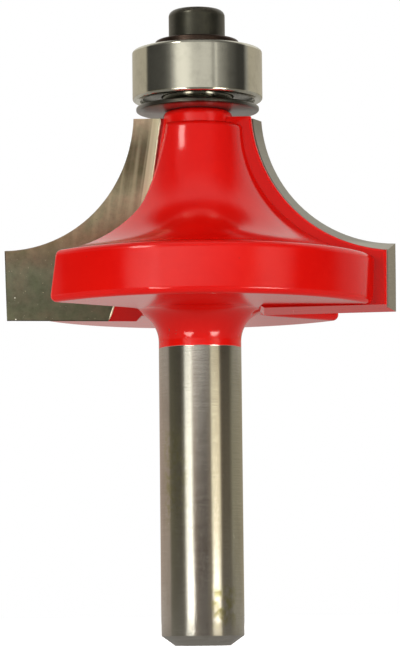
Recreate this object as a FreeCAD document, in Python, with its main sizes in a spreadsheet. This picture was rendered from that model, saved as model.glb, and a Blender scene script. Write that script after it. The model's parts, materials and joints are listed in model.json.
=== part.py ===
import FreeCAD, Part
import math
import os

# Two-flute round-over router bit with a pilot ball bearing.
# Millimetres. Origin: centre of the shank's flat end. +Z: up the shank to the
# bearing and the cap screw. Seen from the screw the tool cuts turning
# anticlockwise. Tip A is on the +X side, tip B is its half-turn copy.

V = FreeCAD.Vector
doc = FreeCAD.newDocument("router_bit")

# ---------------------------------------------------------------- dimensions
DIMS = [
    # shank and neck
    ("shank_radius", 4.0), ("shank_end_radius", 2.67), ("shank_chamfer_height", 0.95),
    ("neck_start_z", 29.3), ("neck_fillet", 2.9),
    # body
    ("under_z", 32.2), ("rim_radius", 17.4), ("enamel_round", 0.6),
    ("bell_radius", 14.3), ("shoulder_z", 50.3),
    # cutting outline
    ("cut_radius", 19.05), ("pilot_radius", 6.35), ("round_over", 12.7),
    ("arc_centre_z", 51.2), ("cut_low_z", 31.75), ("cut_top_z", 51.0),
    # tips and ledges
    ("rake_offset", 0.95), ("rake_pivot_z", 38.5), ("shear_slope", 0.18),
    ("tip_thick", 1.8), ("tip_relief", 0.8), ("ledge_thick", 3.15), ("ledge_inset", 0.86),
    ("ledge_relief", 0.12), ("ledge_low_rise", 0.4), ("foot_slope", 0.015), ("ledge_round", 0.3),
    ("tip_in_top_x", 3.6), ("tip_in_mid_x", 4.95), ("tip_in_mid_z", 42.4), ("tip_in_low_x", 9.0),
    # gullet
    ("gullet_lean_x", 0.14), ("gullet_root_x", 3.85), ("gullet_bend_x", 5.8), ("gullet_bend_y", 5.2),
    ("gullet_far_x", 24.0), ("gullet_far_y", 20.7), ("gullet_root_round", 1.0), ("gullet_bend_round", 4.0),
    # nose
    ("nose_radius", 3.4), ("nose_top_z", 51.8), ("nose_round", 0.6),
    ("spigot_radius", 2.371), ("spigot_top_z", 57.45), ("spigot_chamfer", 0.3),
    ("tapped_radius", 1.5), ("tapped_low_z", 49.8),
    # shield washer
    ("shield_washer_radius", 6.0), ("shield_washer_thick", 0.47), ("shield_washer_hole", 2.43),
    ("shield_washer_boss", 3.3), ("shield_washer_round", 0.18),
    # bearing
    ("bearing_low_z", 52.85), ("bearing_width", 4.978), ("bearing_outer_radius", 6.35),
    ("bearing_bore_radius", 2.381), ("bearing_corner", 0.3),
    ("ball_radius", 1.1906), ("pitch_radius", 4.366), ("race_radius", 1.24), ("race_clearance", 0.012),
    ("inner_land", 3.55), ("inner_end_land", 3.38), ("outer_land", 5.18), ("shield_seat_radius", 5.62),
    ("shield_seat_depth", 0.62), ("shield_thick", 0.18), ("shield_bore", 3.56), ("shield_outer", 5.60),
    ("snap_groove_radius", 5.80), ("snap_thick", 0.22), ("snap_inner", 5.36), ("snap_outer", 5.78),
    ("cage_inner", 4.02), ("cage_outer", 4.72), ("cage_low", 0.55), ("cage_top", 1.62), ("cage_pocket", 1.235),
    # head washer and screw
    ("head_washer_radius", 4.1), ("head_washer_thick", 0.95), ("head_washer_hole", 1.6), ("head_washer_edge", 0.2),
    ("head_radius", 2.75), ("head_height", 3.05), ("head_round", 0.62), ("thread_radius", 1.485),
    ("screw_length", 8.0), ("hex_flats", 2.5), ("hex_depth", 1.4),
]

sheet = doc.addObject("Spreadsheet::Sheet", "d")
sheet.Label = "dimensions"
for i, (name, value) in enumerate(DIMS):
    sheet.set("A%d" % (i + 1), name)
    sheet.set("B%d" % (i + 1), repr(value))
    sheet.setAlias("B%d" % (i + 1), name)
doc.recompute()


class Q:
    """A size that knows both its value and the expression that gives it."""

    def __init__(self, v, e):
        self.v, self.e = float(v), e

    def __add__(self, o):
        o = q(o)
        return Q(self.v + o.v, "(%s + %s)" % (self.e, o.e))

    def __radd__(self, o):
        return q(o) + self

    def __sub__(self, o):
        o = q(o)
        return Q(self.v - o.v, "(%s - %s)" % (self.e, o.e))

    def __rsub__(self, o):
        return q(o) - self

    def __mul__(self, o):
        o = q(o)
        return Q(self.v * o.v, "(%s * %s)" % (self.e, o.e))

    def __rmul__(self, o):
        return q(o) * self

    def __truediv__(self, o):
        o = q(o)
        return Q(self.v / o.v, "(%s / %s)" % (self.e, o.e))

    def __neg__(self):
        return Q(-self.v, "(0 - %s)" % self.e)

    def sqrt(self):
        return Q(math.sqrt(self.v), "sqrt(%s)" % self.e)


def q(x):
    return x if isinstance(x, Q) else Q(x, repr(float(x)))


SIZE = {name: Q(sheet.get(name), "d." + name) for name, value in DIMS}


def S(name):
    return SIZE[name]


def origin_plane(body, role):
    return next(f for f in body.Origin.OriginFeatures if f.Role == role)


def new_sketch(body, name, role, shift=None, turn=None):
    sk = body.newObject("Sketcher::SketchObject", name)
    sk.AttachmentSupport = [(origin_plane(body, role), "")]
    sk.MapMode = "FlatFace"
    if shift is not None or turn is not None:
        sk.AttachmentOffset = FreeCAD.Placement(shift or V(0, 0, 0), turn or FreeCAD.Rotation())
    return sk


def outline(sk, rows):
    """Closed outline. Each row is (x, y, edge): edge leads to the next row and
    is None for a straight line or (radius, side) for an arc that bulges to the
    right (side +1) or left (side -1) of the way it is drawn. Every corner is
    held by its two distances and every arc by its radius."""
    import Sketcher
    n = len(rows)
    ids = []
    for i in range(n):
        x1, y1 = q(rows[i][0]).v, q(rows[i][1]).v
        x2, y2 = q(rows[(i + 1) % n][0]).v, q(rows[(i + 1) % n][1]).v
        edge = rows[i][2]
        a, b = V(x1, y1, 0), V(x2, y2, 0)
        if edge is None:
            ids.append((sk.addGeometry(Part.LineSegment(a, b), False), 1, 2))
        else:
            r, side = q(edge[0]).v, edge[1]
            d = b - a
            half = d.Length / 2.0
            out = V(d.y, -d.x, 0).normalize() * side
            c = (a + b) * 0.5 - out * math.sqrt(max(r * r - half * half, 0.0))
            ta, tb = math.atan2(y1 - c.y, x1 - c.x), math.atan2(y2 - c.y, x2 - c.x)
            if side < 0:
                ta, tb = tb, ta
            if tb < ta:
                tb += 2 * math.pi
            gid = sk.addGeometry(Part.ArcOfCircle(Part.Circle(c, V(0, 0, 1), r), ta, tb), False)
            ids.append((gid, 1, 2) if side > 0 else (gid, 2, 1))
    for i in range(n):
        j = (i + 1) % n
        sk.addConstraint(Sketcher.Constraint("Coincident", ids[i][0], ids[i][2], ids[j][0], ids[j][1]))
    for i in range(n):
        gid, start = ids[i][0], ids[i][1]
        for kind, val in (("DistanceX", q(rows[i][0])), ("DistanceY", q(rows[i][1]))):
            c = sk.addConstraint(Sketcher.Constraint(kind, -1, 1, gid, start, val.v))
            if "d." in val.e:
                sk.setExpression("Constraints[%d]" % c, val.e)
        if rows[i][2] is not None:
            r = q(rows[i][2][0])
            c = sk.addConstraint(Sketcher.Constraint("Radius", gid, r.v))
            if "d." in r.e:
                sk.setExpression("Constraints[%d]" % c, r.e)


def body_of(label):
    b = doc.addObject("PartDesign::Body", label)
    b.Label = label
    return b


def revolve(body, name, rows, kind="PartDesign::Revolution"):
    sk = new_sketch(body, name + "_outline", "XZ_Plane")
    outline(sk, rows)
    doc.recompute()
    f = body.newObject(kind, name)
    f.Profile = sk
    f.ReferenceAxis = (sk, ["V_Axis"])
    f.Angle = 360.0
    body.Tip = f
    doc.recompute()
    return f


def turned(label, rows):
    b = body_of(label)
    revolve(b, label + "_turned", rows)
    return b


NODES = []


def keep(obj):
    NODES.append(obj)
    return obj


# ------------------------------------------------------------ cutting outline
# The outline that the tool sweeps: a straight side below, a concave quarter
# round above that ends level with the pilot bearing's radius.
def swept_radius(z, inset=0.0):
    r = SIZE["cut_radius"].v - inset
    zc, rc = SIZE["arc_centre_z"].v, SIZE["round_over"].v + inset
    if z <= zc - rc:
        return r
    return SIZE["cut_radius"].v - math.sqrt(max(rc * rc - (zc - z) ** 2, 0.0))


slope = SIZE["shear_slope"].v
lean = math.atan(slope)
pivot = SIZE["rake_pivot_z"].v
rake0 = SIZE["rake_offset"].v


def on_plane(depth, z):
    """Distance behind the axis plane (along -Y) of the plane that lies `depth`
    behind the rake face, at height z."""
    return rake0 - slope * (z - pivot) + depth / math.cos(lean)


def to_sheet(depth, z):
    """Height z on that plane, as the sketch's own upright coordinate. The
    sketch lies in the rake face's direction, pivoted at the rake pivot."""
    return (z - pivot) / math.cos(lean) - depth * math.tan(lean)


def edge_curve(depth, inset, z0, z1, count=25):
    """Points of the swept outline on a plane `depth` behind the rake face."""
    pts = []
    for k in range(count + 1):
        t = k / count
        z = z0 + (z1 - z0) * t
        y = on_plane(depth, z)
        if depth == 0.0:
            x = math.sqrt(swept_radius(z, inset) ** 2 - y * y)
        else:
            # behind the rake face the outline is the front one moved in square to itself
            yf = on_plane(0.0, z)
            x = math.sqrt(swept_radius(z, inset) ** 2 - yf * yf)
        pts.append(V(x, to_sheet(depth, z), 0))
    return pts


def spline(points):
    c = Part.BSplineCurve()
    c.interpolate(points)
    return c


def rake_sketch(body, name, depth):
    """A sketch on the plane `depth` behind the rake face of tip A."""
    # the origin plane's own directions are +X, +Z and, as normal, -Y
    s, c = math.sin(lean), math.cos(lean)
    turn = FreeCAD.Rotation(V(1, 0, 0), -math.degrees(lean))
    # pivot point of the rake face: x 0, y -rake_offset, z pivot
    shift = V(0, pivot, rake0) + V(0, s, c) * depth
    return new_sketch(body, name, "XZ_Plane", shift, turn)


def split_z(depth, inset):
    return SIZE["arc_centre_z"].v - SIZE["round_over"].v - inset


def loft(body, name, first, second, kind="PartDesign::AdditiveLoft"):
    f = body.newObject(kind, name)
    f.Profile = first
    f.Sections = [second]
    f.Ruled = True
    f.Closed = False
    body.Tip = f
    doc.recompute()
    return f


# ---------------------------------------------------------------- cutter body
cutter = body_of("cutter_body")
bell_centre_x = S("cut_radius")
shoulder_r = bell_centre_x - (S("bell_radius") * S("bell_radius")
                              - (S("arc_centre_z") - S("shoulder_z")) * (S("arc_centre_z") - S("shoulder_z"))).sqrt()
rim_top_z = S("arc_centre_z") - (S("bell_radius") * S("bell_radius")
                                 - (bell_centre_x - S("rim_radius")) * (bell_centre_x - S("rim_radius"))).sqrt()
revolve(cutter, "shank_and_bell", [
    (0, 0, None),
    (S("shank_end_radius"), 0, None),
    (S("shank_radius"), S("shank_chamfer_height"), None),
    (S("shank_radius"), S("neck_start_z"), (S("neck_fillet"), -1)),
    (S("shank_radius") + S("neck_fillet"), S("under_z"), None),
    (S("rim_radius"), S("under_z"), None),
    (S("rim_radius"), rim_top_z, (S("bell_radius"), -1)),
    (shoulder_r, S("shoulder_z"), None),
    (0, S("shoulder_z"), None),
])

# The gullet in front of tip A: a groove with a rounded root, milled along a
# line that leans with the rake face and in towards the nose.
gul = new_sketch(cutter, "gullet_section", "XY_Plane", V(0, 0, pivot))
outline(gul, [
    (S("gullet_root_x"), -S("rake_offset"), None),
    (S("gullet_bend_x"), S("gullet_bend_y"), None),
    (S("gullet_far_x"), S("gullet_far_y"), None),
    (S("gullet_far_x"), -S("rake_offset"), None),
])
doc.recompute()
import Sketcher
gul.fillet(0, 3, V(4.2, -0.6, 0), V(4.2, -0.2, 0), S("gullet_root_round").v, True, True)
doc.recompute()
gul.fillet(0, 1, V(5.9, 4.6, 0), V(6.4, 5.5, 0), S("gullet_bend_round").v, True, True)
doc.recompute()
gullet = cutter.newObject("PartDesign::Pocket", "gullet")
gullet.Profile = gul
gullet.UseCustomVector = True
gullet.Direction = V(-SIZE["gullet_lean_x"].v, slope, 1)
gullet.Midplane = True
gullet.Type = 0
gullet.Length = 60.0
gullet.setExpression("Length", "(d.cut_top_z - d.under_z) * 3")
cutter.Tip = gullet
doc.recompute()

gullets = cutter.newObject("PartDesign::PolarPattern", "gullets")
gullets.Originals = [gullet]
gullets.Axis = (cutter.Origin.OriginFeatures[2], [""])
gullets.Angle = 360.0
gullets.Occurrences = 2
cutter.Tip = gullets
doc.recompute()



def foot_z(x):
    """Height of a wing's foot: it drops a little from the cutting edge inwards."""
    return SIZE["cut_low_z"].v - SIZE["foot_slope"].v * (SIZE["cut_radius"].v - x)


# The inner side of a tip, square to its rake face, in the sketch's own
# coordinates: two straight runs that meet at a blunt corner.
TIP_IN = [(SIZE["tip_in_top_x"].v, to_sheet(0, SIZE["cut_top_z"].v)),
          (SIZE["tip_in_mid_x"].v, to_sheet(0, SIZE["tip_in_mid_z"].v)),
          (SIZE["tip_in_low_x"].v, to_sheet(0, foot_z(SIZE["tip_in_low_x"].v)))]


def tip_in(v):
    (x0, v0), (x1, v1), (x2, v2) = TIP_IN
    if v >= v1:
        return x1 + (x0 - x1) * (v - v1) / (v0 - v1)
    return x1 + (x2 - x1) * (v - v1) / (v2 - v1)


def side_block(sk, depth, inset, low_z, top_z, inner):
    """Foot, straight side, quarter round and top, closed by `inner`."""
    zs = split_z(depth, inset)
    side = edge_curve(depth, inset, low_z, zs, 8)
    arc = edge_curve(depth, inset, zs, top_z, 40)
    side[-1] = arc[0]
    pts = [V(x, v, 0) for x, v in inner]
    sk.addGeometry(Part.LineSegment(pts[-1], side[0]), False)
    sk.addGeometry(spline(side), False)
    sk.addGeometry(spline(arc), False)
    chain = [arc[-1]] + pts
    for a, b in zip(chain[:-1], chain[1:]):
        sk.addGeometry(Part.LineSegment(a, b), False)
    doc.recompute()
    return sk


low_z, top_z = SIZE["cut_low_z"].v, SIZE["cut_top_z"].v
low_rise = SIZE["ledge_low_rise"].v
tip_t, ledge_t = SIZE["tip_thick"].v, SIZE["ledge_thick"].v
tip_rise = low_rise * tip_t / ledge_t

# The ledge that backs the tip. It stands proud of the bell, its front is flush
# with the rake face inboard of the tip, and its foot rises towards the back.


def ledge_inner(depth, rise):
    return [(-0.4, to_sheet(depth, top_z)), (-0.4, to_sheet(depth, 49.0)),
            (4.9, to_sheet(depth, SIZE["under_z"].v + 0.8)), (6.25, to_sheet(depth, foot_z(6.25) + rise))]


led1 = side_block(rake_sketch(cutter, "ledge_front", 0.0), 0.0, SIZE["ledge_inset"].v, low_z, top_z,
                  ledge_inner(0.0, 0.0))
led2 = side_block(rake_sketch(cutter, "ledge_back", ledge_t), ledge_t,
                  SIZE["ledge_inset"].v + SIZE["ledge_relief"].v, low_z + low_rise, top_z,
                  ledge_inner(ledge_t, low_rise))
ledge = loft(cutter, "ledge", led1, led2)

# The tip's seat: a step as deep as the tip, open in front, outside and at both ends.
seat_sk = rake_sketch(cutter, "seat_outline", tip_t)
seat_sk.setExpression("AttachmentOffset.Base.y", "d.rake_pivot_z + d.tip_thick * %.9f" % math.sin(lean))
seat_sk.setExpression("AttachmentOffset.Base.z", "d.rake_offset + d.tip_thick * %.9f" % math.cos(lean))
v_top, v_low = TIP_IN[0][1] + 2.0, TIP_IN[2][1] - 2.0
pts = [V(tip_in(v_top), v_top, 0), V(TIP_IN[1][0], TIP_IN[1][1], 0), V(tip_in(v_low), v_low, 0),
       V(25, v_low, 0), V(25, v_top, 0)]
for a, b in zip(pts, pts[1:] + pts[:1]):
    seat_sk.addGeometry(Part.LineSegment(a, b), False)
doc.recompute()
seat = cutter.newObject("PartDesign::Pocket", "tip_seat")
seat.Profile = seat_sk
seat.Type = 0
seat.Length = tip_t + 1.2
seat.setExpression("Length", "d.tip_thick + 1.2")
cutter.Tip = seat
doc.recompute()
before = ledge.Shape.Volume
print("seat cuts", round(before - seat.Shape.Volume, 2))

wings = cutter.newObject("PartDesign::PolarPattern", "both_wings")
wings.Originals = [ledge, seat]
wings.Axis = (cutter.Origin.OriginFeatures[2], [""])
wings.Angle = 360.0
wings.Occurrences = 2
cutter.Tip = wings
doc.recompute()

# Nose: the short neck under the bearing and the spigot inside it.
revolve(cutter, "nose_and_spigot", [
    (0, 50.0, None),
    (S("nose_radius"), 50.0, None),
    (S("nose_radius"), S("nose_top_z"), None),
    (S("spigot_radius"), S("nose_top_z"), None),
    (S("spigot_radius"), S("spigot_top_z") - S("spigot_chamfer"), None),
    (S("spigot_radius") - S("spigot_chamfer"), S("spigot_top_z"), None),
    (0, S("spigot_top_z"), None),
])
# The tapped hole for the screw, with its drill point.
revolve(cutter, "tapped_hole", [
    (0, S("spigot_top_z") + 1.0, None),
    (0, S("tapped_low_z") - 0.8, None),
    (S("tapped_radius"), S("tapped_low_z"), None),
    (S("tapped_radius"), S("spigot_top_z") + 1.0, None),
], "PartDesign::Groove")
print("cutter", round(cutter.Shape.Volume, 1), cutter.Shape.isValid(), len(cutter.Shape.Solids),
      len(cutter.Shape.Faces))


def pick(shape, test):
    out = []
    for i, e in enumerate(shape.Edges):
        b = e.BoundBox
        m = e.valueAt(0.5 * (e.FirstParameter + e.LastParameter))
        if test(e, m, b):
            out.append("Edge%d" % (i + 1))
    return out


def round_edges(body, name, radius, test):
    base = body.Tip
    names = pick(base.Shape, test)
    f = body.newObject("PartDesign::Fillet", name)
    f.Base = (base, names)
    f.Radius = SIZE[radius].v
    f.setExpression("Radius", "d." + radius)
    body.Tip = f
    doc.recompute()
    ok = f.State and "Invalid" not in f.State and "Error" not in f.State and not f.Shape.isNull() and f.Shape.isValid()
    print(name, len(names), "edges", "ok" if ok else "FAILED")
    if not ok:
        body.Tip = base
        body.removeObject(f)
        doc.removeObject(f.Name)
        doc.recompute()
    return ok


def radius_of(m):
    return math.hypot(m.x, m.y)


round_edges(cutter, "nose_round", "nose_round",
            lambda e, m, b: abs(m.z - SIZE["nose_top_z"].v) < 1e-3 and abs(radius_of(m) - SIZE["nose_radius"].v) < 1e-3)


def on_bell_or_rim(m):
    if m.z < rim_top_z.v:
        return abs(radius_of(m) - SIZE["rim_radius"].v) < 0.01
    return abs(radius_of(m) - bell_at(m.z)) < 0.01


def bell_at(z):
    return SIZE["cut_radius"].v - math.sqrt(max(SIZE["bell_radius"].v ** 2 - (SIZE["arc_centre_z"].v - z) ** 2, 0.0))


def behind(m):
    """True on the plane of a ledge's back wall, either wing."""
    side = 1 if m.x > 0 else -1
    return abs(side * m.y + on_plane(ledge_t, m.z)) < 0.02


# The ledges' outer back edges, from the foot to the top.
round_edges(cutter, "ledge_back_round", "ledge_round",
            lambda e, m, b: behind(m) and 32.5 < m.z < 50.9 and b.ZLength > 1 and not on_bell_or_rim(m)
            and radius_of(m) > (SIZE["rim_radius"].v if m.z < rim_top_z.v else bell_at(m.z)) + 0.25)


def on_gullet_edge(e, m, b):
    """Edges where a gullet's wall meets the bell, the rim's side or the underside."""
    side = 1 if m.x > 0 else -1
    if side * m.y < 0.35 * side * m.x:
        return False
    if abs(m.z - SIZE["under_z"].v) < 1e-3:
        return e.Curve.TypeId == "Part::GeomLine" and radius_of(m) > 9
    if m.z < rim_top_z.v + 0.05:
        return abs(radius_of(m) - SIZE["rim_radius"].v) < 0.01 and b.ZLength > 1
    return m.z < 50.2 and radius_of(m) > 4.2 and abs(radius_of(m) - bell_at(m.z)) < 0.01


def on_rim_circle(e, m, b):
    level = abs(m.z - SIZE["under_z"].v) < 1e-3 or abs(m.z - rim_top_z.v) < 2e-3
    return level and b.ZLength < 1e-3 and abs(radius_of(m) - SIZE["rim_radius"].v) < 1e-3


def on_shoulder(e, m, b):
    return abs(m.z - SIZE["shoulder_z"].v) < 1e-3 and b.ZLength < 1e-3 and abs(radius_of(m) - shoulder_r.v) < 1e-3


# The rims' own edges, the shoulder's and those that the gullets leave, thick with enamel.
round_edges(cutter, "enamel_round", "enamel_round",
            lambda e, m, b: on_gullet_edge(e, m, b) or on_rim_circle(e, m, b) or on_shoulder(e, m, b))
keep(cutter)

# ---------------------------------------------------------------- carbide tips


def tip_inner(depth, rise):
    vt, vl = to_sheet(depth, top_z), to_sheet(depth, foot_z(SIZE["tip_in_low_x"].v) + rise)
    return [(tip_in(vt), vt), TIP_IN[1], (tip_in(vl), vl)]


def carbide(label, angle):
    b = body_of(label)
    s1 = side_block(rake_sketch(b, label + "_rake_face", 0.0), 0.0, 0.0, low_z, top_z, tip_inner(0.0, 0.0))
    s2 = side_block(rake_sketch(b, label + "_back", tip_t), tip_t, SIZE["tip_relief"].v, low_z + tip_rise, top_z,
                    tip_inner(tip_t, tip_rise))
    s2.setExpression("AttachmentOffset.Base.y", "d.rake_pivot_z + d.tip_thick * %.9f" % math.sin(lean))
    s2.setExpression("AttachmentOffset.Base.z", "d.rake_offset + d.tip_thick * %.9f" % math.cos(lean))
    loft(b, label + "_block", s1, s2)
    b.Placement = FreeCAD.Placement(V(0, 0, 0), FreeCAD.Rotation(V(0, 0, 1), angle))
    doc.recompute()
    return keep(b)


carbide("carbide_tip_a", 0)
carbide("carbide_tip_b", 180)

# ---------------------------------------------------------------- washers
washer = keep(turned("shield_washer", [
    (S("shield_washer_hole"), S("nose_top_z"), None),
    (S("shield_washer_radius"), S("nose_top_z"), None),
    (S("shield_washer_radius"), S("nose_top_z") + S("shield_washer_thick"), None),
    (S("shield_washer_boss") + 0.3, S("nose_top_z") + S("shield_washer_thick"), None),
    (S("shield_washer_boss"), S("bearing_low_z"), None),
    (S("shield_washer_hole"), S("bearing_low_z"), None),
]))
round_edges(washer, "washer_rim", "shield_washer_round",
            lambda e, m, b: abs(radius_of(m) - SIZE["shield_washer_radius"].v) < 1e-3 and b.ZLength < 1e-3)
top_b = S("bearing_low_z") + S("bearing_width")
hw = keep(turned("head_washer", [
    (S("head_washer_hole"), top_b, None),
    (S("head_washer_radius"), top_b, None),
    (S("head_washer_radius"), top_b + S("head_washer_thick"), None),
    (S("head_washer_hole"), top_b + S("head_washer_thick"), None),
]))
round_edges(hw, "head_washer_rim", "head_washer_edge",
            lambda e, m, b: abs(radius_of(m) - SIZE["head_washer_radius"].v) < 1e-3 and b.ZLength < 1e-3
            and m.z > top_b.v + 0.5)

# ---------------------------------------------------------------- ball bearing
low_b = S("bearing_low_z")
mid_b = low_b + S("bearing_width") / 2
corner = S("bearing_corner")
ri_b, ro_b = S("race_radius"), S("race_radius")
gap = S("race_clearance")
# centre radii of the race grooves: a little looser than the balls
ci = S("pitch_radius") - S("ball_radius") - gap + S("race_radius")
co = S("pitch_radius") + S("ball_radius") + gap - S("race_radius")
half_i = (ri_b * ri_b - (S("inner_land") - ci) * (S("inner_land") - ci)).sqrt()
half_o = (ro_b * ro_b - (S("outer_land") - co) * (S("outer_land") - co)).sqrt()
depth_s = S("shield_seat_depth")
inner = keep(turned("bearing_inner_ring", [
    (S("bearing_bore_radius"), low_b + 0.2, None),
    (S("bearing_bore_radius") + 0.2, low_b, None),
    (S("inner_end_land"), low_b, None),
    (S("inner_end_land"), low_b + depth_s, None),
    (S("inner_land"), low_b + depth_s + 0.12, None),
    (S("inner_land"), mid_b - half_i, (ri_b, -1)),
    (S("inner_land"), mid_b + half_i, None),
    (S("inner_land"), top_b - depth_s - 0.12, None),
    (S("inner_end_land"), top_b - depth_s, None),
    (S("inner_end_land"), top_b, None),
    (S("bearing_bore_radius") + 0.2, top_b, None),
    (S("bearing_bore_radius"), top_b - 0.2, None),
]))
snap_z = depth_s - S("shield_thick")
snap_t = S("snap_thick")
outer = keep(turned("bearing_outer_ring", [
    (S("bearing_outer_radius") - corner, low_b, (corner, 1)),
    (S("bearing_outer_radius"), low_b + corner, None),
    (S("bearing_outer_radius"), top_b - corner, (corner, 1)),
    (S("bearing_outer_radius") - corner, top_b, None),
    (S("shield_seat_radius"), top_b, None),
    (S("shield_seat_radius"), top_b - snap_z + snap_t + 0.03, None),
    (S("snap_groove_radius"), top_b - snap_z + snap_t + 0.03, None),
    (S("snap_groove_radius"), top_b - snap_z, None),
    (S("shield_seat_radius"), top_b - snap_z, None),
    (S("shield_seat_radius"), top_b - depth_s, None),
    (S("outer_land"), top_b - depth_s, None),
    (S("outer_land"), mid_b + half_o, (ro_b, -1)),
    (S("outer_land"), mid_b - half_o, None),
    (S("outer_land"), low_b + depth_s, None),
    (S("shield_seat_radius"), low_b + depth_s, None),
    (S("shield_seat_radius"), low_b + snap_z, None),
    (S("snap_groove_radius"), low_b + snap_z, None),
    (S("snap_groove_radius"), low_b + snap_z - snap_t - 0.03, None),
    (S("shield_seat_radius"), low_b + snap_z - snap_t - 0.03, None),
    (S("shield_seat_radius"), low_b, None),
]))


def shield(label, z0):
    """Flat shield with a small lip turned towards the balls at its inner edge."""
    return keep(turned(label, [
        (S("shield_bore"), z0, None),
        (S("shield_outer"), z0, None),
        (S("shield_outer"), z0 + S("shield_thick"), None),
        (S("shield_bore"), z0 + S("shield_thick"), None),
    ]))


shield("lower_shield", low_b + snap_z)
shield("upper_shield", top_b - depth_s)


def snap_ring(label, z0):
    """Flat wire ring, open by a few degrees, sprung into its groove."""
    b = body_of(label)
    sk = new_sketch(b, label + "_section", "XZ_Plane")
    outline(sk, [
        (S("snap_inner"), z0, None),
        (S("snap_outer"), z0, None),
        (S("snap_outer"), z0 + snap_t, None),
        (S("snap_inner"), z0 + snap_t, None),
    ])
    doc.recompute()
    f = b.newObject("PartDesign::Revolution", label + "_ring")
    f.Profile = sk
    f.ReferenceAxis = (sk, ["V_Axis"])
    f.Angle = 346.0
    b.Tip = f
    doc.recompute()
    return keep(b)


snap_ring("lower_snap_ring", low_b + snap_z - snap_t - 0.015)
snap_ring("upper_snap_ring", top_b - snap_z + 0.015)

# Crown cage: a ring that lies above the balls' middle, with a round pocket for
# each ball, open downwards.
cage = body_of("bearing_cage")
revolve(cage, "cage_ring", [
    (S("cage_inner"), mid_b - S("cage_low"), None),
    (S("cage_outer"), mid_b - S("cage_low"), None),
    (S("cage_outer"), mid_b + S("cage_top"), None),
    (S("cage_inner"), mid_b + S("cage_top"), None),
])
psk = new_sketch(cage, "pocket_outline", "XZ_Plane")
pr = S("cage_pocket")
outline(psk, [
    (S("pitch_radius"), mid_b - pr, (pr, 1)),
    (S("pitch_radius") + pr, mid_b, (pr, 1)),
    (S("pitch_radius"), mid_b + pr, None),
])
axis_line = psk.addGeometry(Part.LineSegment(V(SIZE["pitch_radius"].v, mid_b.v - 3, 0),
                                             V(SIZE["pitch_radius"].v, mid_b.v + 3, 0)), True)
doc.recompute()
pocket = cage.newObject("PartDesign::Groove", "ball_pocket")
pocket.Profile = psk
pocket.ReferenceAxis = (psk, ["Axis0"])
pocket.Angle = 360.0
cage.Tip = pocket
doc.recompute()
pockets = cage.newObject("PartDesign::PolarPattern", "ball_pockets")
pockets.Originals = [pocket]
pockets.Axis = (cage.Origin.OriginFeatures[2], [""])
pockets.Angle = 360.0
pockets.Occurrences = 7
cage.Tip = pockets
doc.recompute()
keep(cage)
print("cage", round(cage.Shape.Volume, 3), cage.Shape.isValid(), len(cage.Shape.Solids))

for i in range(7):
    ball = doc.addObject("Part::Sphere", "ball_%d" % (i + 1))
    ball.Label = "ball_%d" % (i + 1)
    ball.setExpression("Radius", "d.ball_radius")
    ball.setExpression("Placement.Base.x", "d.pitch_radius * cos(%.9f)" % (360.0 * i / 7))
    ball.setExpression("Placement.Base.y", "d.pitch_radius * sin(%.9f)" % (360.0 * i / 7))
    ball.setExpression("Placement.Base.z", "d.bearing_low_z + d.bearing_width / 2")
    keep(ball)

# ---------------------------------------------------------------- cap screw
head_z = top_b + S("head_washer_thick")
screw = body_of("cap_screw")
revolve(screw, "screw_turned", [
    (0, head_z - S("screw_length"), None),
    (S("thread_radius") - 0.35, head_z - S("screw_length"), None),
    (S("thread_radius"), head_z - S("screw_length") + 0.35, None),
    (S("thread_radius"), head_z, None),
    (S("head_radius"), head_z, None),
    (S("head_radius"), head_z + S("head_height") - S("head_round"), (S("head_round"), 1)),
    (S("head_radius") - S("head_round"), head_z + S("head_height"), None),
    (0, head_z + S("head_height"), None),
])
hex_sk = new_sketch(screw, "hex_outline", "XY_Plane")
hex_sk.setExpression("AttachmentOffset.Base.z", (head_z + S("head_height")).e)
doc.recompute()
rh = SIZE["hex_flats"].v / math.sqrt(3.0)
rq = S("hex_flats") / Q(3.0, "3.0").sqrt()
outline(hex_sk, [(rq * math.cos(math.radians(60 * k + 30)), rq * math.sin(math.radians(60 * k + 30)), None)
                 for k in range(6)])
doc.recompute()
hexp = screw.newObject("PartDesign::Pocket", "hex_socket")
hexp.Profile = hex_sk
hexp.Type = 0
hexp.Length = SIZE["hex_depth"].v
hexp.setExpression("Length", "d.hex_depth")
screw.Tip = hexp
doc.recompute()
keep(screw)

# ---------------------------------------------------------------- write
doc.recompute()
bad = [o.Name for o in doc.Objects if "Invalid" in o.State or "Error" in o.State]
if bad:
    raise RuntimeError("objects not made: %s" % ", ".join(bad))
os.makedirs("parts", exist_ok=True)
for obj in NODES:
    sh = obj.Shape
    if sh.isNull() or not sh.isValid() or len(sh.Solids) < 1:
        raise RuntimeError("bad shape: " + obj.Label)
    print("%-20s volume %9.3f  solids %d  x %.2f..%.2f  y %.2f..%.2f  z %.2f..%.2f" % (
        obj.Label, sh.Volume, len(sh.Solids), sh.BoundBox.XMin, sh.BoundBox.XMax, sh.BoundBox.YMin,
        sh.BoundBox.YMax, sh.BoundBox.ZMin, sh.BoundBox.ZMax))
    sh.exportStep(os.path.join("parts", obj.Label + ".step"))
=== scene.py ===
import json
import math

import bpy
from mathutils import Matrix, Vector


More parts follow.
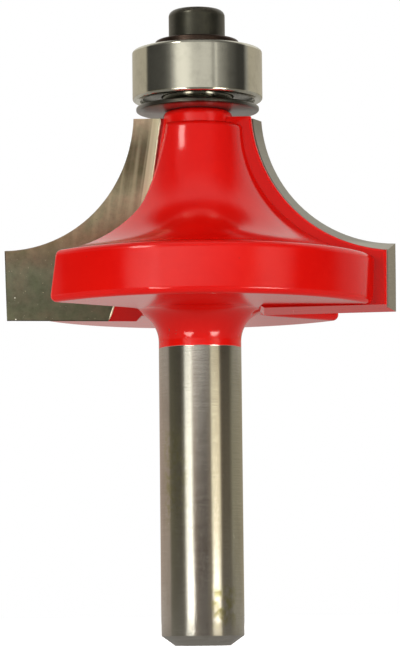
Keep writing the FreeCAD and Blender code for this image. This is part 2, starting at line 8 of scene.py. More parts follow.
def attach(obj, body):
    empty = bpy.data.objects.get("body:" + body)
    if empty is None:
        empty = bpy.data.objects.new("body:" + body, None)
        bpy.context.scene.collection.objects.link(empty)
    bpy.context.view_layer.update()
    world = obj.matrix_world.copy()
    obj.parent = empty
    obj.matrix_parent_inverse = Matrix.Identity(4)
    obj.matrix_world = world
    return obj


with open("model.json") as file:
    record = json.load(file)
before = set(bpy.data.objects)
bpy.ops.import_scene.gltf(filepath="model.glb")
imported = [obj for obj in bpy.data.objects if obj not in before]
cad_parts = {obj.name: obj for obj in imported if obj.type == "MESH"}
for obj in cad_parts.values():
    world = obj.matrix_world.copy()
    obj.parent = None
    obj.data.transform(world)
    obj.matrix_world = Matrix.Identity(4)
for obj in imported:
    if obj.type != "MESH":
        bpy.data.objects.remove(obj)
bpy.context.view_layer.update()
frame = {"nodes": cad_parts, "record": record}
scene = bpy.context.scene
nodes = frame["nodes"]


# ------------------------------------------------------------ node building
class Tree:
    """Builds a node tree with short calls. Sockets and plain numbers mix."""

    def __init__(self, tree):
        self.t = tree
        tree.nodes.clear()

    def new(self, kind, **props):
        n = self.t.nodes.new(kind)
        for k, v in props.items():
            setattr(n, k, v)
        return n

    def put(self, socket, value):
        if value is None:
            return
        if isinstance(value, bpy.types.NodeSocket):
            self.t.links.new(value, socket)
        else:
            socket.default_value = value

    def math(self, op, a, b=None, c=None, clamp=False):
        n = self.new("ShaderNodeMath", operation=op, use_clamp=clamp)
        for i, v in enumerate((a, b, c)):
            self.put(n.inputs[i], v)
        return n.outputs[0]

    def add(self, a, b):
        return self.math("ADD", a, b)

    def sub(self, a, b):
        return self.math("SUBTRACT", a, b)

    def mul(self, a, b):
        return self.math("MULTIPLY", a, b)

    def step(self, x, low, high, to_low=0.0, to_high=1.0, smooth=True):
        n = self.new("ShaderNodeMapRange", interpolation_type="SMOOTHSTEP" if smooth else "LINEAR", clamp=True)
        for i, v in enumerate((x, low, high, to_low, to_high)):
            self.put(n.inputs[i], v)
        return n.outputs[0]

    def band(self, x, centre, half, soft):
        """1 within `half` of centre, falling to 0 over `soft`."""
        d = self.math("ABSOLUTE", self.sub(x, centre))
        return self.step(d, half, half + soft, 1.0, 0.0)

    def mix(self, fac, a, b, blend="MIX"):
        n = self.new("ShaderNodeMix", data_type="RGBA", blend_type=blend)
        self.put(n.inputs[0], fac)
        self.put(n.inputs[6], a)
        self.put(n.inputs[7], b)
        return n.outputs[2]

    def mixf(self, fac, a, b):
        n = self.new("ShaderNodeMix", data_type="FLOAT")
        self.put(n.inputs[0], fac)
        self.put(n.inputs[2], a)
        self.put(n.inputs[3], b)
        return n.outputs[0]

    def ramp(self, fac, stops, ease="LINEAR"):
        n = self.new("ShaderNodeValToRGB")
        n.color_ramp.interpolation = ease
        el = n.color_ramp.elements
        while len(el) > 1:
            el.remove(el[-1])
        for i, (p, c) in enumerate(stops):
            e = el[0] if i == 0 else el.new(p)
            e.position = p
            e.color = tuple(c) + (1.0,) if len(c) == 3 else c
        self.put(n.inputs[0], fac)
        return n.outputs[0]

    def noise(self, vec, scale, detail=2.0, rough=0.5, distort=0.0, colour=False):
        n = self.new("ShaderNodeTexNoise")
        self.put(n.inputs["Vector"], vec)
        n.inputs["Scale"].default_value = scale
        n.inputs["Detail"].default_value = detail
        n.inputs["Roughness"].default_value = rough
        n.inputs["Distortion"].default_value = distort
        return n.outputs["Color" if colour else "Fac"]

    def voronoi(self, vec, scale, feature="F1", out="Distance"):
        n = self.new("ShaderNodeTexVoronoi", feature=feature)
        self.put(n.inputs["Vector"], vec)
        n.inputs["Scale"].default_value = scale
        return n.outputs[out]

    def xyz(self, vec):
        n = self.new("ShaderNodeSeparateXYZ")
        self.put(n.inputs[0], vec)
        return n.outputs[0], n.outputs[1], n.outputs[2]

    def vec(self, x, y, z):
        n = self.new("ShaderNodeCombineXYZ")
        for i, v in enumerate((x, y, z)):
            self.put(n.inputs[i], v)
        return n.outputs[0]

    def vmul(self, a, b):
        n = self.new("ShaderNodeVectorMath", operation="MULTIPLY")
        self.put(n.inputs[0], a)
        self.put(n.inputs[1], b)
        return n.outputs[0]

    def dot(self, a, b):
        n = self.new("ShaderNodeVectorMath", operation="DOT_PRODUCT")
        self.put(n.inputs[0], a)
        self.put(n.inputs[1], b)
        return n.outputs["Value"]

    def bump(self, height, strength, distance, normal=None):
        n = self.new("ShaderNodeBump")
        n.inputs["Strength"].default_value = strength
        n.inputs["Distance"].default_value = distance
        self.put(n.inputs["Height"], height)
        self.put(n.inputs["Normal"], normal)
        return n.outputs[0]


def material(name):
    m = bpy.data.materials.new(name)
    m.use_nodes = True
    t = Tree(m.node_tree)
    out = t.new("ShaderNodeOutputMaterial")
    p = t.new("ShaderNodeBsdfPrincipled")
    t.t.links.new(p.outputs[0], out.inputs[0])
    coord = t.new("ShaderNodeTexCoord").outputs["Object"]
    mm = t.vmul(coord, (1000.0, 1000.0, 1000.0))     # millimetres in the tool's own frame
    return m, t, p, mm


def around(t, mm):
    """Angle about the tool's axis (turns), radius and height, in millimetres."""
    x, y, z = t.xyz(mm)
    return t.math("ARCTAN2", y, x), t.math("SQRT", t.add(t.mul(x, x), t.mul(y, y))), z


# ------------------------------------------------------------ body: red enamel over steel
RAKE_OFFSET, PIVOT_Z, SLOPE = 0.95, 38.5, 0.18      # the rake plane, as in the CAD


def enamelled_steel():
    m, t, p, mm = material("red_enamel_on_steel")
    x, y, z = t.xyz(mm)
    ang, rad, _ = around(t, mm)
    # the dipped enamel ends in a nearly level line on the shank
    wave = t.noise(t.vec(t.mul(t.math("COSINE", ang), 1.0), t.math("SINE", ang), 0.0), 1.6, 2.0)
    line = t.add(28.62, t.mul(t.sub(wave, 0.5), 0.22))
    paint = t.step(t.sub(z, line), -0.03, 0.05)

    # enamel: nearly even, a touch deeper and lighter in broad patches
    broad = t.noise(mm, 0.16, 3.0, 0.55)
    fine = t.noise(mm, 1.4, 3.0, 0.6)
    red = t.mix(t.step(broad, 0.3, 0.7), (0.74, 0.0028, 0.0012, 1), (0.80, 0.0052, 0.0022, 1))
    red = t.mix(t.mul(t.step(fine, 0.5, 0.78), 0.20), red, (0.84, 0.012, 0.006, 1))
    # pin-prick dust in the enamel, and chips on the neck
    dust = t.voronoi(mm, 0.9)
    keep_dust = t.step(t.noise(mm, 0.7, 1.0), 0.58, 0.64)
    red = t.mix(t.mul(t.step(dust, 0.03, 0.09, 1.0, 0.0), t.mul(keep_dust, 0.55)), red, (0.16, 0.02, 0.015, 1))
    chips = t.mul(t.band(z, 29.95, 0.35, 0.4), t.band(ang, -2.22, 0.12, 0.10))
    chips = t.mul(chips, t.step(t.noise(mm, 1.9, 2.5, 0.6, 0.8), 0.56, 0.62))
    red = t.mix(t.mul(chips, 0.75), red, (0.15, 0.05, 0.03, 1))

    # painted shade: a dark line beside the tips' inner side, where the crevice by the solder lies in shadow, up on the
    # neck of the bell
    ax = t.math("ABSOLUTE", x)
    depth = t.sub(t.add(t.mul(t.mul(t.math("SIGN", x), y), -1.0), t.mul(t.sub(z, PIVOT_Z), SLOPE)), RAKE_OFFSET)
    inner = t.sub(ax, t.math("MAXIMUM", t.sub(4.95, t.mul(t.sub(z, 42.4), 0.15698)), t.add(4.95, t.mul(t.sub(42.4, z), 0.375))))
    crevice_shade = t.mul(t.band(inner, -0.16, 0.10, 0.16), t.step(t.math("ABSOLUTE", depth), 1.5, 1.1))
    crevice_shade = t.mul(crevice_shade, t.mul(t.step(z, 38.5, 41.0), t.step(t.noise(mm, 1.3, 3.0, 0.6), 0.25, 0.45, 0.55, 1.0)))
    red = t.mix(t.mul(crevice_shade, 0.80), red, (0.13, 0.004, 0.002, 1))
    # painted shade: the ledges' flat walls are made a deeper red, their backs and the piece between a tip's foot and
    # the neck, where the body shades them
    nx, ny, nz = t.xyz(t.new("ShaderNodeNewGeometry").outputs["Normal"])
    facing = t.mul(t.add(t.mul(t.mul(t.math("SIGN", x), ny), -1.0), t.mul(nz, SLOPE)), math.cos(math.atan(SLOPE)))
    back = t.mul(t.step(facing, 0.975, 0.99), t.band(depth, 3.2, 0.08, 0.08))
    front = t.mul(t.mul(t.step(facing, -0.975, -0.99), t.band(depth, 0.0, 0.08, 0.08)), t.step(z, 36.0, 34.5))
    red = t.mix(back, red, t.mix(1.0, red, (0.77, 0.77, 0.77, 1), "MULTIPLY"))
    red = t.mix(front, red, t.mix(1.0, red, (0.62, 0.62, 0.62, 1), "MULTIPLY"))

    # bare shank: centreless-ground steel, fine rings, with faint smears
    rings = t.noise(t.vmul(mm, (0.35, 0.35, 26.0)), 1.0, 3.0, 0.65)
    grain = t.noise(t.vmul(mm, (3.0, 3.0, 9.0)), 1.3, 4.0, 0.7)
    steel = t.mix(t.step(rings, 0.3, 0.7), (0.56, 0.535, 0.485, 1), (0.66, 0.635, 0.585, 1))
    cloud = t.noise(t.vmul(mm, (0.5, 0.5, 0.17)), 1.0, 4.0, 0.6)
    steel = t.mix(t.mul(t.step(cloud, 0.46, 0.72), 0.45), steel, (0.47, 0.43, 0.38, 1))
    # yellowish smears: one low on the right of the front, one up the left
    smear_a = t.mul(t.band(z, 3.9, 0.9, 1.9), t.band(ang, -1.02, 0.16, 0.30))
    smear_b = t.mul(t.band(z, 16.2, 2.6, 3.4), t.band(ang, -2.28, 0.18, 0.28))
    smear = t.math("MAXIMUM", smear_a, t.mul(smear_b, 0.75))
    smear = t.mul(smear, t.step(t.noise(mm, 1.1, 4.0, 0.65), 0.40, 0.62))
    steel = t.mix(t.mul(smear, 0.75), steel, (0.46, 0.43, 0.17, 1))
    # a few short bright nicks
    nick = t.mul(t.step(t.noise(t.vmul(mm, (2.2, 2.2, 1.1)), 1.0, 2.0, 0.5), 0.70, 0.735), 0.5)
    steel = t.mix(nick, steel, (0.80, 0.79, 0.74, 1))

    t.put(p.inputs["Base Color"], t.mix(paint, steel, red))
    t.put(p.inputs["Metallic"], t.sub(1.0, paint))
    steel_rough = t.add(t.add(0.125, t.mul(t.sub(grain, 0.5), 0.14)), t.mul(smear, 0.12))
    paint_rough = t.add(0.128, t.mul(t.sub(broad, 0.5), 0.05))
    t.put(p.inputs["Roughness"], t.mixf(paint, steel_rough, t.add(paint_rough, t.mul(chips, 0.4))))
    peel = t.noise(mm, 1.9, 2.0, 0.5)
    height = t.mixf(paint, t.add(t.mul(rings, 0.5), t.mul(grain, 0.5)), t.add(t.mul(peel, 1.0), t.mul(chips, -0.4)))
    # the enamel's thickness shows as a tiny step at its edge
    height = t.add(height, t.mul(paint, 3.0))
    t.put(p.inputs["Normal"], t.bump(height, 0.35, 0.00001))
    p.inputs["IOR"].default_value = 1.5
    return m


# ------------------------------------------------------------ carbide
def carbide():
    m, t, p, mm = material("ground_carbide")
    x, y, z = t.xyz(mm)
    side = t.math("SIGN", x)
    ax = t.math("ABSOLUTE", x)
    # how deep the point lies behind the tip's rake face
    depth = t.sub(t.add(t.mul(t.mul(side, y), -1.0), t.mul(t.sub(z, PIVOT_Z), SLOPE)), RAKE_OFFSET)
    face = t.step(t.math("ABSOLUTE", depth), 0.02, 0.05, 1.0, 0.0)
    # distance from the tip's inner side, in the rake face
    upper = t.sub(4.95, t.mul(t.sub(z, 42.4), 0.15698))
    lower = t.add(4.95, t.mul(t.sub(42.4, z), 0.375))
    inner = t.sub(ax, t.math("MAXIMUM", upper, lower))

    # the rake face: olive grey below, khaki and mauve above, all softly mottled
    height = t.step(z, 31.6, 51.0, smooth=False)
    soft = t.noise(t.vec(ax, 0.0, z), 0.42, 4.0, 0.6, 0.6)
    mott = t.noise(mm, 1.7, 5.0, 0.7)
    base = t.ramp(height, [(0.0, (0.125, 0.122, 0.080)), (0.12, (0.108, 0.110, 0.075)), (0.25, (0.136, 0.136, 0.094)),
                           (0.32, (0.148, 0.120, 0.082)), (0.42, (0.242, 0.178, 0.117)), (0.50, (0.262, 0.240, 0.160)),
                           (0.62, (0.330, 0.298, 0.205)), (0.75, (0.148, 0.124, 0.077)), (0.86, (0.155, 0.126, 0.085)),
                           (1.0, (0.470, 0.405, 0.285))])
    base = t.mix(t.mul(t.step(soft, 0.44, 0.70), 0.60), base, t.mix(1.0, base, (1.24, 1.00, 1.03, 1), "MULTIPLY"))
    base = t.mix(t.mul(t.step(soft, 0.52, 0.28), 0.60), base, t.mix(1.0, base, (0.78, 0.90, 0.80, 1), "MULTIPLY"))
    base = t.mix(t.mul(t.step(mott, 0.46, 0.70), 0.55), base, t.mix(1.0, base, (0.72, 0.72, 0.72, 1), "MULTIPLY"))
    base = t.mix(t.mul(t.step(mott, 0.52, 0.30), 0.55), base, t.mix(1.0, base, (1.22, 1.20, 1.16, 1), "MULTIPLY"))
    # streaks that follow the inner side up to the top
    across = t.sub(ax, t.mul(t.sub(42.4, z), 0.157))
    streak = t.noise(t.vec(across, 0.0, t.mul(z, 0.035)), 1.25, 2.0, 0.5)
    up = t.step(z, 38.0, 45.0)
    base = t.mix(t.mul(t.mul(t.step(streak, 0.46, 0.66), up), 0.48), base, (0.540, 0.490, 0.335, 1))
    base = t.mix(t.mul(t.mul(t.step(streak, 0.50, 0.32), up), 0.28), base, (0.170, 0.150, 0.100, 1))
    # painted highlight: a brighter band beside the solder, standing in for the bright reflection along the tip's inner
    # side
    band = t.mul(t.step(inner, 0.68, 0.82, 1.0, 0.0), t.step(z, 34.5, 38.5))
    core = t.step(inner, 0.22, 0.50, 0.0, 1.0)
    base = t.mix(t.mul(band, 0.85), base, t.mix(core, (0.80, 0.76, 0.55, 1), (0.68, 0.62, 0.43, 1)))
    # painted glints of the crystals in the lower part, and a few painted bright specks lower down
    cell = t.voronoi(mm, 3.6)
    pick = t.voronoi(mm, 3.6, out="Color")
    lit = t.step(t.dot(pick, (0.6, 0.3, 0.1)), 0.60, 0.66)
    low = t.step(z, 41.5, 34.0)
    glint = t.mul(t.mul(t.step(cell, 0.06, 0.16, 1.0, 0.0), lit), low)
    base = t.mix(t.mul(glint, 0.75), base, (0.66, 0.63, 0.46, 1))
    few = t.mul(t.step(t.voronoi(mm, 0.8), 0.05, 0.075, 1.0, 0.0), t.step(z, 35.0, 33.0))
    base = t.mix(few, base, (0.95, 0.93, 0.80, 1))
    # short brown scratches in the middle
    scr_v = t.vmul(t.vec(t.add(ax, t.mul(z, 0.5)), 0.0, t.sub(z, t.mul(ax, 0.5))), (1.2, 1.0, 3.4))
    scr = t.step(t.noise(scr_v, 1.3, 4.0, 0.75, 1.4), 0.655, 0.70)
    scr = t.mul(scr, t.mul(t.band(z, 40.0, 2.2, 2.5), t.step(t.noise(mm, 0.8, 1.0), 0.50, 0.60)))
    base = t.mix(t.mul(scr, 0.8), base, (0.045, 0.020, 0.012, 1))
    # thin dark line along the outer side and the foot
    rim_d = t.math("MINIMUM", t.sub(19.02, ax), t.sub(z, t.sub(31.75, t.mul(t.sub(19.05, ax), 0.015))))
    edge = t.mul(t.step(rim_d, 0.05, 0.14, 1.0, 0.0), t.step(z, 38.6, 38.2))
    base = t.mix(t.mul(edge, 0.75), base, (0.035, 0.028, 0.020, 1))

    # the clearance faces: plain fine-ground grey
    lines = t.noise(t.vmul(mm, (1.0, 1.0, 10.0)), 1.6, 3.0, 0.6)
    relief = t.mix(t.step(lines, 0.35, 0.65), (0.38, 0.355, 0.285, 1), (0.46, 0.430, 0.350, 1))
    relief = t.mix(t.step(z, 38.3, 38.9), relief, t.mix(1.0, relief, (0.60, 0.60, 0.57, 1), "MULTIPLY"))
    # the foot isn't ground, so the enamel that was dipped over it stays
    normal_z = t.xyz(t.new("ShaderNodeNewGeometry").outputs["Normal"])[2]
    foot = t.mul(t.step(normal_z, -0.75, -0.85), t.step(z, 34.0, 33.5))
    foot = t.mul(foot, t.sub(1.0, face))
    look = t.mix(foot, t.mix(face, relief, base), (0.76, 0.004, 0.002, 1))
    t.put(p.inputs["Base Color"], look)
    t.put(p.inputs["Metallic"], t.sub(1.0, foot))
    rough = t.mixf(face, t.mixf(foot, 0.30, 0.16), t.sub(t.add(0.40, t.mul(t.sub(mott, 0.5), 0.20)), t.mul(glint, 0.15)))
    t.put(p.inputs["Roughness"], rough)
    grind = t.noise(t.vmul(mm, (7.0, 7.0, 1.2)), 1.0, 4.0, 0.7)
    t.put(p.inputs["Normal"], t.bump(t.add(t.mul(grind, 0.6), t.mul(glint, 1.0)), 0.3, 0.00001))
    return m


# ------------------------------------------------------------ turned steels
def turned_steel(name, dark, light, rough, ring_scale=14.0, spread=0.06, spots=0.0, spot_colour=(0.2, 0.18, 0.12, 1),
                 metallic=1.0, bump=0.25, painted_dark_reflection=False):
    """Steel with fine turning or grinding rings round the tool's axis."""
    m, t, p, mm = material(name)
    ang, rad, z = around(t, mm)
    rings = t.noise(t.vec(t.mul(rad, 1.0), 0.0, z), ring_scale, 3.0, 0.6)
    cloud = t.noise(mm, 0.7, 4.0, 0.6)
    col = t.mix(t.step(rings, 0.3, 0.7), dark + (1,), light + (1,))
    col = t.mix(t.mul(t.step(cloud, 0.42, 0.70), 0.35), col, tuple(c * 0.72 for c in dark) + (1,))
    if spots:
        s = t.step(t.noise(mm, 3.4, 4.0, 0.7), 0.60, 0.70)
        col = t.mix(t.mul(s, spots), col, spot_colour)
    if painted_dark_reflection:       # painted reflection: the rim over the nose is darkened where it mirrors the shadowed nose
        g = t.mul(t.band(ang, -math.pi / 2, 0.75, 0.45), t.step(rad, 5.35, 5.6))
        col = t.mix(t.mul(g, 0.88), col, (0.060, 0.055, 0.040, 1))
    t.put(p.inputs["Base Color"], col)
    p.inputs["Metallic"].default_value = metallic
    t.put(p.inputs["Roughness"], t.add(rough, t.mul(t.sub(cloud, 0.5), spread)))
    t.put(p.inputs["Normal"], t.bump(t.add(rings, t.mul(cloud, 0.5)), bump, 0.000006))
    return m


def black_oxide():
    m, t, p, mm = material("black_oxide")
    ang, rad, z = around(t, mm)
    cloud = t.noise(mm, 1.1, 4.0, 0.6)
    fine = t.noise(mm, 7.0, 3.0, 0.6)
    col = t.mix(t.step(cloud, 0.35, 0.65), (0.010, 0.010, 0.0075, 1), (0.019, 0.018, 0.013, 1))
    # rubbed brown where the edges wear
    worn = t.mul(t.step(z, 61.0, 61.75), t.step(rad, 2.0, 2.5))
    col = t.mix(t.mul(t.mul(worn, t.step(fine, 0.42, 0.6)), 0.5), col, (0.11, 0.085, 0.065, 1))
    t.put(p.inputs["Base Color"], col)
    p.inputs["Metallic"].default_value = 0.0
    t.put(p.inputs["Roughness"], t.add(0.30, t.mul(t.sub(fine, 0.5), 0.12)))
    t.put(p.inputs["Normal"], t.bump(fine, 0.2, 0.000008))
    p.inputs["IOR"].default_value = 1.62
    p.inputs["Specular Tint"].default_value = (1.0, 0.98, 0.78, 1)
    return m


def solder():
    m, t, p, mm = material("silver_solder")
    lump = t.noise(mm, 2.4, 4.0, 0.6)
    col = t.mix(t.step(lump, 0.35, 0.68), (0.74, 0.69, 0.50, 1), (0.88, 0.84, 0.66, 1))
    t.put(p.inputs["Base Color"], col)
    p.inputs["Metallic"].default_value = 1.0
    t.put(p.inputs["Roughness"], t.add(0.32, t.mul(t.sub(lump, 0.5), 0.2)))
    t.put(p.inputs["Normal"], t.bump(lump, 0.4, 0.00003))
    return m


LOOKS = {
    "enamelled_steel": enamelled_steel(),
    "carbide": carbide(),
    # the washer's rim carries a painted dark reflection of the shadowed nose
    "washer_steel": turned_steel("washer_steel", (0.30, 0.295, 0.275), (0.40, 0.39, 0.365), 0.36, spots=0.25, painted_dark_reflection=True),
    "dark_washer": turned_steel("browned_washer", (0.060, 0.038, 0.030), (0.095, 0.066, 0.052), 0.34, spots=0.2),
    "bearing_steel": turned_steel("bearing_steel", (0.655, 0.640, 0.540), (0.695, 0.680, 0.575), 0.11, 20.0, 0.03, bump=0.12),
    "shield_steel": turned_steel("shield_sheet", (0.36, 0.36, 0.32), (0.46, 0.45, 0.41), 0.28, 9.0),
    "wire_steel": turned_steel("ring_wire", (0.40, 0.40, 0.36), (0.50, 0.49, 0.45), 0.25, 9.0),
    "cage_steel": turned_steel("cage_sheet", (0.44, 0.42, 0.37), (0.54, 0.52, 0.46), 0.3, 7.0),
    "ball_steel": turned_steel("ball_steel", (0.70, 0.70, 0.68), (0.76, 0.76, 0.74), 0.07, 3.0, 0.02, bump=0.05),
    "black_screw": black_oxide(),
}
for row in frame["record"]["subparts"]:
    ob = nodes[row["node"]]
    for slot in ob.material_slots:
        slot.material = LOOKS[row["material_slot"]]


# ------------------------------------------------------------ solder seams beside the tips
def rake_point(x, z, lift, side):
    """A point of the rake face, lifted off it by `lift`, for tip A (side 1) or B (-1)."""
    lean = math.atan(SLOPE)
    y = -(RAKE_OFFSET - SLOPE * (z - PIVOT_Z)) + lift * math.cos(lean)
    return Vector((side * x, side * y, z - lift * math.sin(lean))) / 1000.0


def seam(name, side):
    """A low rounded bead of solder along the tip's inner side, uneven as it froze."""
    rows, ring = 150, 10
    verts, faces = [], []
    for i in range(rows + 1):
        s = i / rows
        z = 50.93 + (31.72 - 50.93) * s
        x = 4.95 - (z - 42.4) * 0.15698 if z > 42.4 else 4.95 + (42.4 - z) * 0.375
        wob = 0.5 * math.sin(i * 0.37) + 0.3 * math.sin(i * 0.83 + 1.0) + 0.2 * math.sin(i * 1.71 + 2.0)
        half = 0.105 * (1.0 + 0.16 * wob)
        end = min(1.0, 0.25 + min(i, rows - i) * 0.25)
        for k in range(ring):
            a = 2 * math.pi * k / ring
            verts.append(rake_point(x - 0.03 + half * end * math.cos(a), z, 0.045 * end * math.sin(a), side))
    for i in range(rows):
        for k in range(ring):
            a, b = i * ring + k, i * ring + (k + 1) % ring
            faces.append((a, b, b + ring, a + ring) if side > 0 else (a, a + ring, b + ring, b))
    faces.append(tuple(range(ring)))
    faces.append(tuple(reversed(range(rows * ring, (rows + 1) * ring))))
    me = bpy.data.meshes.new(name)
    me.from_pydata(verts, [], faces)
    me.validate()
    me.update()
    for poly in me.polygons:
        poly.use_smooth = len(poly.vertices) == 4
    me.materials.append(solder_look)
    ob = bpy.data.objects.new(name, me)
    scene.collection.objects.link(ob)
    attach(ob, "cutter")
    return ob


solder_look = solder()
seam("solder_seam_a", 1)
seam("solder_seam_b", -1)

# ------------------------------------------------------------ floor
me = bpy.data.meshes.new("floor")
F = 3.0
me.from_pydata([(-F, -F, 0), (F, -F, 0), (F, F, 0), (-F, F, 0)], [], [(0, 1, 2, 3)])
floor = bpy.data.objects.new("floor", me)
scene.collection.objects.link(floor)
m, t, p, mm = material("pale_floor")
p.inputs["Base Color"].default_value = (0.90, 0.90, 0.89, 1)
p.inputs["Roughness"].default_value = 0.9
p.inputs["Specular IOR Level"].default_value = 0.0
p.inputs["Emission Color"].default_value = (1, 1, 1, 1)
# what the metal and the enamel mirror of it: grey, with a soft pool of light behind the tool
fx, fy, fz = t.xyz(mm)
away = t.math("SQRT", t.add(t.mul(fx, fx), t.mul(fy, fy)))
t.put(p.inputs["Emission Strength"], t.step(away, 15.0, 110.0, 0.86, 1.02))
grey = t.new("ShaderNodeEmission")
grey.inputs["Color"].default_value = (1.0, 0.965, 0.90, 1)
pool = t.mul(t.step(fy, -20.0, 120.0, 0.0, 0.29), t.step(fx, -5.0, 10.0, 1.0, 0.55))
t.put(grey.inputs["Strength"], t.add(0.24, pool))
seen = t.new("ShaderNodeMixShader")
t.put(seen.inputs[0], t.new("ShaderNodeLightPath").outputs["Is Camera Ray"])
t.put(seen.inputs[1], grey.outputs[0])
t.put(seen.inputs[2], p.outputs[0])
t.put(next(n for n in m.node_tree.nodes if n.type == "OUTPUT_MATERIAL").inputs[0], seen.outputs[0])
floor.visible_diffuse = False       # the soft bounce light below stands for it
me.materials.append(m)

# ------------------------------------------------------------ light
world = bpy.data.worlds.new("studio")
scene.world = world
world.use_nodes = True
world.cycles_visibility.diffuse = False     # the fill lights below do this part
w = Tree(world.node_tree)
wout = w.new("ShaderNodeOutputWorld")
direction = w.new("ShaderNodeTexCoord").outputs["Generated"]
dx, dy, dz = w.xyz(direction)
turn = w.math("DIVIDE", w.add(w.math("ARCTAN2", dx, w.mul(dy, -1.0)), math.pi), 2 * math.pi)   # 0.5 faces the camera
elev = w.mul(w.math("ARCSINE", dz), 180 / math.pi)


def sky(stops):
    """stops: (azimuth from the camera in degrees, brightness) or with a colour."""
    rows = []
    for a, v in stops:
        c = v if isinstance(v, tuple) else (v, v * 0.975, v * 0.92)
        rows.append(((a + 180.0) / 360.0, c))
    return w.ramp(turn, rows)


WARM = (0.52, 0.475, 0.395)
low_sky = sky([(-180, (0.48, 0.39, 0.33)), (-100, (0.44, 0.36, 0.30)), (-94, (0.19, 0.175, 0.12)), (-78, (0.135, 0.125, 0.08)),
               (-56, (0.10, 0.09, 0.06)), (-47, (0.30, 0.28, 0.23)), (-41, (2.0, 2.0, 1.8)), (-27, (2.2, 2.2, 1.95)),
               (-20, (0.40, 0.31, 0.24)), (-8, (0.135, 0.100, 0.078)), (14, (0.092, 0.070, 0.054)), (24, (0.25, 0.20, 0.15)),
               (27, (0.20, 0.16, 0.11)), (32, (1.5, 1.38, 1.0)), (52, (1.5, 1.34, 0.94)), (58, (0.32, 0.26, 0.18)),
               (62, (0.15, 0.125, 0.085)), (88, (0.16, 0.14, 0.10)), (98, (0.33, 0.31, 0.22)), (180, (0.40, 0.35, 0.25))])
rim_sky = sky([(-180, WARM), (-110, 0.45), (-100, 0.30), (-94, 0.06), (-58, 0.05), (-49, 0.08), (-42, 0.13), (-31, 0.52),
               (-18, 1.45), (-5, 1.22), (9, 0.84), (22, 0.52), (33, 0.12), (46, 0.05), (65, 0.05), (94, 0.05), (106, 0.32),
               (130, 0.5), (180, WARM)])
mid_sky = sky([(-180, WARM), (-102, WARM), (-97, 0.06), (-76, 0.075), (-63, 0.09), (-56, 0.12), (-48, 0.22), (-41, 0.58),
               (-34, 1.12), (-24, 1.14), (-14, 1.0), (-6, 0.74), (5, 0.70), (14, 0.76), (25, 0.74), (28.5, 0.46),
               (31, 0.48), (35, 0.88), (38.5, 0.46), (45, 0.34), (60, 0.14), (78, 0.05), (92, 0.05), (99, 0.36), (106, WARM),
               (180, WARM)])
high_sky = sky([(-180, 0.85), (-115, 0.80), (-90, 0.25), (-60, 0.15), (-48, 0.45), (-5, 0.38), (30, 0.34), (50, 0.16), (85, 0.10),
                (115, 0.80), (180, 0.85)])
sky_colour = w.mix(w.step(elev, 4.95, 5.3), low_sky, rim_sky)
sky_colour = w.mix(w.step(elev, 7.6, 10.0), sky_colour, mid_sky)
sky_colour = w.mix(w.step(elev, 13.0, 20.0), sky_colour, high_sky)
overhead = w.step(elev, 55.0, 78.0)
sky_colour = w.mix(overhead, sky_colour, (0.52, 0.51, 0.49, 1))
# one dark patch high behind the object
patch = w.dot(direction, tuple(Vector((0.0, 0.31, 0.95)).normalized()))
sky_colour = w.mix(w.step(patch, math.cos(math.radians(25)), math.cos(math.radians(16))), sky_colour, (0.04, 0.038, 0.035, 1))
bg = w.new("ShaderNodeBackground")
w.put(bg.inputs["Color"], sky_colour)
bg.inputs["Strength"].default_value = 1.0
white = w.new("ShaderNodeBackground")
white.inputs["Color"].default_value = (1, 1, 1, 1)
white.inputs["Strength"].default_value = 1.0
pick_bg = w.new("ShaderNodeMixShader")
w.put(pick_bg.inputs[0], w.new("ShaderNodeLightPath").outputs["Is Camera Ray"])
w.put(pick_bg.inputs[1], bg.outputs[0])
w.put(pick_bg.inputs[2], white.outputs[0])
w.put(wout.inputs[0], pick_bg.outputs[0])


def softbox(name, azimuth, distance, z_low, z_high, width, radiance, colour=(1.0, 0.97, 0.90)):
    """An upright soft light facing the tool's axis. Azimuth is from the camera's side."""
    a = math.radians(azimuth)
    data = bpy.data.lights.new(name, "AREA")
    data.shape = "RECTANGLE"
    data.size, data.size_y = width, z_high - z_low
    data.energy = radiance * math.pi * data.size * data.size_y
    data.color = colour
    ob = bpy.data.objects.new(name, data)
    zc = 0.5 * (z_low + z_high)
    pos = Vector((distance * math.sin(a), -distance * math.cos(a), zc))
    out = Vector((math.sin(a), -math.cos(a), 0.0))
    up = Vector((0, 0, 1))
    rot = Matrix((up.cross(out), up, out)).transposed()
    ob.matrix_world = Matrix.Translation(pos) @ rot.to_4x4()
    ob.visible_camera = False
    ob.visible_diffuse = False
    scene.collection.objects.link(ob)
    return ob


softbox("light_left_high", -37, 0.40, 0.196, 0.345, 0.090, 9.0)


def fill(name, azimuth, elevation, distance, size, amount, colour=(1.0, 0.98, 0.95)):
    """A large soft fill that isn't mirrored in the metal. `amount` is the
    brightness that it gives a white surface facing it."""
    a, e = math.radians(azimuth), math.radians(elevation)
    out = Vector((math.sin(a) * math.cos(e), -math.cos(a) * math.cos(e), math.sin(e)))
    data = bpy.data.lights.new(name, "AREA")
    data.shape = "DISK"
    data.size = size
    data.energy = amount * 4.0 * (math.pi * distance * distance + math.pi * size * size / 4) / 4.0 * math.pi
    data.color = colour
    ob = bpy.data.objects.new(name, data)
    ob.matrix_world = Matrix.Translation(Vector((0, 0, 0.03)) + out * distance) @ out.to_track_quat("Z", "Y").to_matrix().to_4x4()
    ob.visible_camera = False
    ob.visible_glossy = False
    scene.collection.objects.link(ob)
    return ob


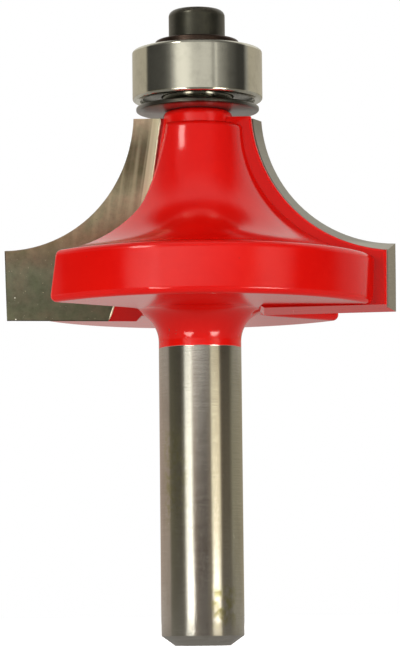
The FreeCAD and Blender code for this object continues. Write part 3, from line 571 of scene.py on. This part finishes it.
fill("fill_left", -34, 8, 0.60, 0.24, 0.55)
fill("fill_right", 50, 8, 0.60, 0.24, 0.43)
fill("fill_back_left", -135, 12, 0.60, 0.24, 0.50)
fill("fill_back_right", 140, 12, 0.60, 0.24, 0.45)
fill("fill_top", 0, 80, 0.60, 0.40, 0.23)


def floor_glow(name, azimuth, near, far, width, radiance, colour=(1.0, 0.96, 0.88)):
    """A soft light that lies on the floor, from `near` to `far` of the axis, and
    shines up at the neck and the rim."""
    a = math.radians(azimuth)
    mid = 0.5 * (near + far)
    data = bpy.data.lights.new(name, "AREA")
    data.shape = "RECTANGLE"
    data.size, data.size_y = width, far - near
    data.energy = radiance * math.pi * data.size * data.size_y
    data.color = colour
    ob = bpy.data.objects.new(name, data)
    ob.matrix_world = (Matrix.Translation(Vector((mid * math.sin(a), -mid * math.cos(a), 0.0008)))
                       @ Matrix.Rotation(a, 4, "Z") @ Matrix.Rotation(math.pi, 4, "X"))
    ob.visible_camera = False
    ob.visible_diffuse = False
    scene.collection.objects.link(ob)
    return ob


floor_glow("light_left_floor", -29, 0.108, 0.290, 0.054, 10.5)
floor_glow("light_right_floor", 42, 0.108, 0.290, 0.054, 11.5)
bounce = floor_glow("bounce", 0, -0.30, 0.30, 0.60, 0.66)      # what a lit floor sends up
bounce.visible_glossy = False
bounce.visible_diffuse = True

# ------------------------------------------------------------ camera
yaw, pitch, roll = math.radians(-1.3012), math.radians(5.5837), math.radians(-0.5883)
fwd = Vector((math.sin(yaw) * math.cos(pitch), math.cos(yaw) * math.cos(pitch), math.sin(pitch)))
right0 = Vector((math.cos(yaw), -math.sin(yaw), 0.0))
up0 = right0.cross(fwd)
right = right0 * math.cos(roll) + up0 * math.sin(roll)
up = up0 * math.cos(roll) - right0 * math.sin(roll)
data = bpy.data.cameras.new("camera")
data.sensor_width = 36.0
data.lens = 164.67
data.clip_start, data.clip_end = 0.01, 20.0
cam = bpy.data.objects.new("camera", data)
cam.matrix_world = Matrix.Translation(Vector((0.006514, -0.286, 0.00304))) @ Matrix((right, up, -fwd)).transposed().to_4x4()
scene.collection.objects.link(cam)
scene.camera = cam

scene.view_settings.view_transform = "Standard"
scene.view_settings.look = "None"
scene.view_settings.exposure = 0.0
scene.view_settings.gamma = 1.0
